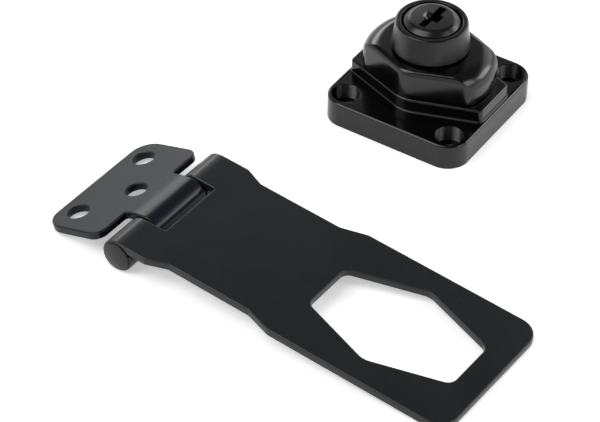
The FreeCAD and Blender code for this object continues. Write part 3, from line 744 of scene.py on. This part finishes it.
def domeLevel(r):  # flat in the middle, an ellipse at the shoulder
    k = knob
    start = k["radius"] - k["shoulder"]
    if r <= start:
        return k["top"]
    out = min((r - start) / k["shoulder"], 1.0)
    return k["top"] - k["drop"] + k["drop"] * math.sqrt(1 - out * out)


def gripMesh():
    k = knob
    columns = []
    for p in gripOutline():
        reach = p.length
        way = p / reach
        room = min(max((k["radius"] - reach) / k["fade"], 0.0), 1.0)
        crease = k["leastCrease"] + k["crease"] * room * room * (3 - 2 * room)  # fades out at the round ends
        start = reach - crease
        line = [(k["core"] + (start - k["core"]) * i / k["rings"]) for i in range(k["rings"] + 1)]
        column = [(r, domeLevel(r)) for r in line]
        z0, z1 = domeLevel(start), domeLevel(reach)
        z2 = z1 - crease
        for s in range(1, k["creaseSteps"] + 1):
            t = s / k["creaseSteps"]
            column.append(((1 - t) ** 2 * start + (1 - (1 - t) ** 2) * reach,
                           (1 - t) ** 2 * z0 + 2 * t * (1 - t) * z1 + t * t * z2))
        e = k["lowEdge"]
        for s in range(1, k["wallSteps"] + 1):
            column.append((reach, z2 + (k["low"] + e - z2) * s / k["wallSteps"]))
        column += [(reach - e * 0.3, k["low"] + e * 0.3), (reach - e, k["low"]), (k["core"], k["low"])]
        columns.append([(way.x * r, way.y * r, z) for r, z in column])
    rows = len(columns[0])
    count = len(columns)
    points = [p for column in columns for p in column]
    faces = []
    for i in range(count):
        a, b = i * rows, (i + 1) % count * rows
        for j in range(rows):
            n = (j + 1) % rows
            faces.append((a + j, a + n, b + n, b + j))
    return meshOf("knobGrip", points, faces)


def makeKnob():
    k = knob
    inner = cadCopy("knobInner", "turn_knob")
    limit = prismMesh("innerTool", ring(0, 0, k["innerRadius"], 96)[::-1], k["innerLow"], k["innerTop"])
    inner = cutMesh(inner, [limit], "INTERSECT")
    mesh = joinedMesh("turnKnob", gripMesh(), inner)
    addPiece("turnKnob", mesh, coats["knob"], "knob", "knob_coat", "turn_knob")


makeKnob()
print("knob shaped")


# base: cast foot and pad with rolled edges, on a merged copy of the solid
baseLook = {"top": 7.2, "padTop": 11.0, "half": 21.0, "edge": 0.17, "padEdge": 0.15, "padFoot": 0.5,
            "holeEdge": 0.14, "holeSpacing": 15.8, "holeRadius": 3.9,
            "topBevel": 0.4, "padBevel": 0.35, "rimBand": 2.5, "padReach": 12.6, "footReach": 10.0,
            "near": 0.02, "nearHole": 0.05, "sharp": 25.0}


def sharpEdges(work, test, hollow=False):  # sharp edges with both ends where test says, outer or hollow ones
    found = []
    for edge in work.edges:
        if len(edge.link_faces) != 2 or edge.is_convex == hollow:
            continue
        if edge.calc_face_angle(0.0) > math.radians(baseLook["sharp"]) and all(test(v.co / mm) for v in edge.verts):
            found.append(edge)
    return found


def makeBase():
    b = baseLook
    mesh = cadCopy("lockBase", "lock_base")
    work = bmesh.new()
    work.from_mesh(mesh)

    def atLevel(p, level, bevel=0.0):  # on a flat, or at the lower edge of the bevel round it
        return abs(p.z - level) < b["near"] or abs(p.z - level + bevel) < b["near"]

    def onHole(p):
        x, y = abs(p.x) - b["holeSpacing"], abs(p.y) - b["holeSpacing"]
        return atLevel(p, b["top"]) and abs(math.hypot(x, y) - b["holeRadius"]) < b["nearHole"]

    def onFootRim(p):
        return (atLevel(p, b["top"], b["topBevel"]) and not onHole(p)
                and max(abs(p.x), abs(p.y)) > b["half"] - b["rimBand"])

    def onPadRim(p):
        return atLevel(p, b["padTop"], b["padBevel"]) and math.hypot(p.x, p.y) > b["padReach"]

    def onPadFoot(p):
        return atLevel(p, b["top"]) and not onHole(p) and math.hypot(p.x, p.y) > b["footReach"]

    for test, hollow, size, steps in ((onPadFoot, True, b["padFoot"], 4), (onPadRim, False, b["padEdge"], 2),
                                      (onFootRim, False, b["edge"], 2), (onHole, False, b["holeEdge"], 2)):
        chosen = sharpEdges(work, test, hollow)
        print("rolling", len(chosen), "edges of the base")
        bmesh.ops.bevel(work, geom=chosen, offset=size * mm, segments=steps, profile=0.5, affect="EDGES",
                        offset_type="OFFSET", clamp_overlap=True)
    work.to_mesh(mesh)
    work.free()
    addPiece("lockBase", mesh, coats["base"], "base", "base_coat", "lock_base")


makeBase()
print("base cast")


# small inner pieces: row of coil springs, wave washer, and smooth copies of the turned and stamped ones
def coilRowTree():
    tree, given = startTree("coilRow", (
        ("Start", "Geometry", None), ("Wire Radius", "Float", 0.0001), ("Coil Radius", "Float", 0.0004),
        ("Length", "Float", 0.0026), ("Turns", "Float", 4.0), ("Pitch", "Float", 0.0023),
        ("Count", "Int", 5), ("Finish", "Material", None)), "Row")
    spiral = newNode(tree, "GeometryNodeCurveSpiral")
    spiral.inputs["Resolution"].default_value = 20
    tree.links.new(given.outputs["Turns"], spiral.inputs["Rotations"])
    tree.links.new(given.outputs["Coil Radius"], spiral.inputs["Start Radius"])
    tree.links.new(given.outputs["Coil Radius"], spiral.inputs["End Radius"])
    tree.links.new(given.outputs["Length"], spiral.inputs["Height"])
    wire = newNode(tree, "GeometryNodeCurvePrimitiveCircle")
    wire.inputs["Resolution"].default_value = 8
    tree.links.new(given.outputs["Wire Radius"], wire.inputs["Radius"])
    tube = newNode(tree, "GeometryNodeCurveToMesh")
    tube.inputs["Fill Caps"].default_value = True
    tree.links.new(spiral.outputs[0], tube.inputs["Curve"])
    tree.links.new(wire.outputs[0], tube.inputs["Profile Curve"])
    lay = newNode(tree, "GeometryNodeTransform")
    lay.inputs["Rotation"].default_value = (math.pi / 2, 0.0, 0.0)
    tree.links.new(tube.outputs[0], lay.inputs["Geometry"])
    step = newNode(tree, "ShaderNodeCombineXYZ")
    tree.links.new(given.outputs["Pitch"], step.inputs[2])
    row = newNode(tree, "GeometryNodeMeshLine")
    tree.links.new(given.outputs["Count"], row.inputs["Count"])
    tree.links.new(step.outputs[0], row.inputs["Offset"])
    put = newNode(tree, "GeometryNodeInstanceOnPoints")
    tree.links.new(row.outputs[0], put.inputs["Points"])
    tree.links.new(lay.outputs[0], put.inputs["Instance"])
    return endTree(tree, given, put.outputs[0])


springRow = {"wire": 0.085, "coil": 0.38, "turns": 5.0, "count": 5, "ends": 2.2}  # ends in wire radii


def makeSprings():
    low, high = (Vector(c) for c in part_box("wafer_spring_1"))
    nextLow = Vector(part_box("wafer_spring_2")[0])
    s = springRow
    start = bpy.data.meshes.new("springStart")
    start.from_pydata([(0, 0, 0)], [], [])
    mesh = treeMesh("waferSprings", coilRowTree(), start, {
        "Wire Radius": s["wire"] * mm, "Coil Radius": s["coil"] * mm, "Turns": s["turns"], "Count": s["count"],
        "Length": high.y - low.y - s["ends"] * s["wire"] * mm, "Pitch": nextLow.z - low.z, "Finish": springSteel})
    middle = (low + high) / 2
    mesh.transform(Matrix.Translation((middle.x, high.y - s["ends"] / 2 * s["wire"] * mm, middle.z)))
    addPiece("waferSprings", mesh, springSteel, "plug", "spring_steel",
             *["wafer_spring_%d" % (i + 1) for i in range(s["count"])])


washer = {"inner": 9.74, "width": 1.6, "low": 2.02, "thickness": 0.25, "wave": 0.11, "waves": 3, "edge": 0.05}


def makeWasher():
    w = washer
    outer = w["inner"] + w["width"]
    high = w["low"] + w["thickness"]
    section = [(w["inner"], w["low"]), (outer, w["low"]), (outer, high), (w["inner"], high)]
    mesh = turnedMesh("waveWasher", [(x, z, w["edge"]) for x, z in section], springSteel, 96, True,
                      (w["waves"], w["wave"]))
    addPiece("waveWasher", mesh, springSteel, "knob", "spring_steel", "wave_washer")


def makeCopies():
    for name, node, finish, body, slot in (
            ("retainingPlate", "retaining_plate", zincSteel, "knob", "plated_steel"),
            ("plateScrews", "plate_screws", zincSteel, "knob", "plated_steel"),
            ("stopPin", "stop_pin", zincSteel, "knob", "plated_steel"),
            ("lockingBolt", "locking_bolt", zincSteel, "bolt", "plated_steel"),
            ("plugClip", "plug_clip", springSteel, "plug", "spring_steel")):
        addPiece(name, cadCopy(name, node), finish, body, slot, node)


makeSprings()
makeWasher()
makeCopies()
print("inner pieces made")


# studio: pale floor, bright low surround that darkens upwards, and soft lamps
studio = {
    "floorSize": 6.0, "floorColour": 0.90, "floorRoughness": 0.9, "floorGloss": 0.1,
    "floorLift": 0.42, "floorDrop": 0.00002,
    "surround": {"low": 1.0, "high": 0.12, "from": 0.33, "to": 0.64},
    "key": {"place": (-0.25, -0.42, 0.86), "target": (0.0, -0.04, 0.0), "size": (0.6, 0.6), "power": 3.4},
    "leftFront": {"place": (-0.40, -0.52, 0.49), "target": (0.0, -0.03, 0.01), "size": (0.36, 0.30), "power": 1.3},
    "leftBack": {"place": (-0.43, 0.37, 0.32), "target": (-0.03, -0.075, 0.0), "size": (0.30, 0.12), "power": 0.55},
    "rightBack": {"place": (0.47, 0.44, 0.26), "target": (0.0, -0.03, 0.01), "size": (0.34, 0.24), "power": 1.05},
    "right": {"place": (0.62, 0.06, 0.45), "target": (0.01, -0.01, 0.02), "size": (0.34, 0.34), "power": 1.15},
    "back": {"place": (0.11, 0.43, 0.26), "target": (0.0, 0.0, 0.02), "size": (0.62, 0.22), "power": 0.50},
}


def makeFloor():
    half = studio["floorSize"] / 2
    mesh = bpy.data.meshes.new("floor")
    mesh.from_pydata([(-half, -half, 0), (half, -half, 0), (half, half, 0), (-half, half, 0)], [], [(0, 1, 2, 3)])
    floor = bpy.data.objects.new("floor", mesh)
    bpy.context.scene.collection.objects.link(floor)
    floor.location.z = startBounds[0][2] - studio["floorDrop"]
    material = bpy.data.materials.new("floorPaper")
    mesh.materials.append(material)
    material.use_nodes = True
    tree = material.node_tree
    shader = tree.nodes["Principled BSDF"]
    c = studio["floorColour"]
    shader.inputs["Base Color"].default_value = (c, c, c, 1.0)
    shader.inputs["Roughness"].default_value = studio["floorRoughness"]
    shader.inputs["Specular IOR Level"].default_value = studio["floorGloss"]
    # the paper looks white to the eye and in reflections, without more light on the object
    path = newNode(tree, "ShaderNodeLightPath")
    seen = mathStep(tree, "MAXIMUM", path.outputs["Is Camera Ray"], path.outputs["Is Glossy Ray"])
    seen = mathStep(tree, "MAXIMUM", seen, path.outputs["Is Transmission Ray"])
    shader.inputs["Emission Color"].default_value = (1.0, 1.0, 1.0, 1.0)
    tree.links.new(mathStep(tree, "MULTIPLY", seen, studio["floorLift"]), shader.inputs["Emission Strength"])


def makeSurround():
    world = bpy.data.worlds.new("surround")
    bpy.context.scene.world = world
    world.use_nodes = True
    tree = world.node_tree
    back = tree.nodes["Background"]
    back.inputs["Color"].default_value = (1.0, 1.0, 1.0, 1.0)
    split = newNode(tree, "ShaderNodeSeparateXYZ")
    tree.links.new(newNode(tree, "ShaderNodeTexCoord").outputs["Generated"], split.inputs[0])
    look = studio["surround"]
    level = newNode(tree, "ShaderNodeMapRange", interpolation_type="SMOOTHSTEP")
    level.inputs["From Min"].default_value = look["from"]
    level.inputs["From Max"].default_value = look["to"]
    level.inputs["To Min"].default_value = look["low"]
    level.inputs["To Max"].default_value = look["high"]
    tree.links.new(split.outputs["Z"], level.inputs["Value"])
    tree.links.new(level.outputs["Result"], back.inputs["Strength"])


def makeLamp(name, lamp):
    light = bpy.data.lights.new(name, "AREA")
    light.shape = "RECTANGLE"
    light.size, light.size_y = lamp["size"]
    light.energy = lamp["power"]
    holder = bpy.data.objects.new(name, light)
    bpy.context.scene.collection.objects.link(holder)
    holder.location = lamp["place"]
    direction = Vector(lamp["target"]) - Vector(lamp["place"])
    holder.rotation_euler = direction.to_track_quat("-Z", "Y").to_euler()
    holder.visible_camera = False


view = {"azimuth": 32.773, "elevation": 40.781, "roll": 0.796, "distance": 0.66563,
        "target": (-0.004308, -0.055202, 0.0), "lens": 157.737, "sensor": 36.0, "nearest": 0.01}


def makeCamera():
    az = math.radians(view["azimuth"])
    el = math.radians(view["elevation"])
    roll = math.radians(view["roll"])
    back = Vector((math.sin(az) * math.cos(el), -math.cos(az) * math.cos(el), math.sin(el)))
    right = Vector((math.cos(az), math.sin(az), 0.0))
    up = back.cross(right)
    turnedRight = right * math.cos(roll) + up * math.sin(roll)
    turnedUp = up * math.cos(roll) - right * math.sin(roll)
    data = bpy.data.cameras.new("camera")
    data.lens = view["lens"]
    data.sensor_width = view["sensor"]
    data.sensor_fit = "HORIZONTAL"
    data.clip_start = view["nearest"]
    camera = bpy.data.objects.new("camera", data)
    bpy.context.scene.collection.objects.link(camera)
    place = Vector(view["target"]) + back * view["distance"]
    camera.matrix_world = Matrix((
        (turnedRight.x, turnedUp.x, back.x, place.x),
        (turnedRight.y, turnedUp.y, back.y, place.y),
        (turnedRight.z, turnedUp.z, back.z, place.z),
        (0.0, 0.0, 0.0, 1.0),
    ))
    bpy.context.scene.camera = camera


makeFloor()
makeSurround()
for lampName in ("key", "leftFront", "leftBack", "rightBack", "right", "back"):
    makeLamp(lampName + "Lamp", studio[lampName])
makeCamera()
bpy.context.scene.view_settings.view_transform = "Standard"
print("studio ready")
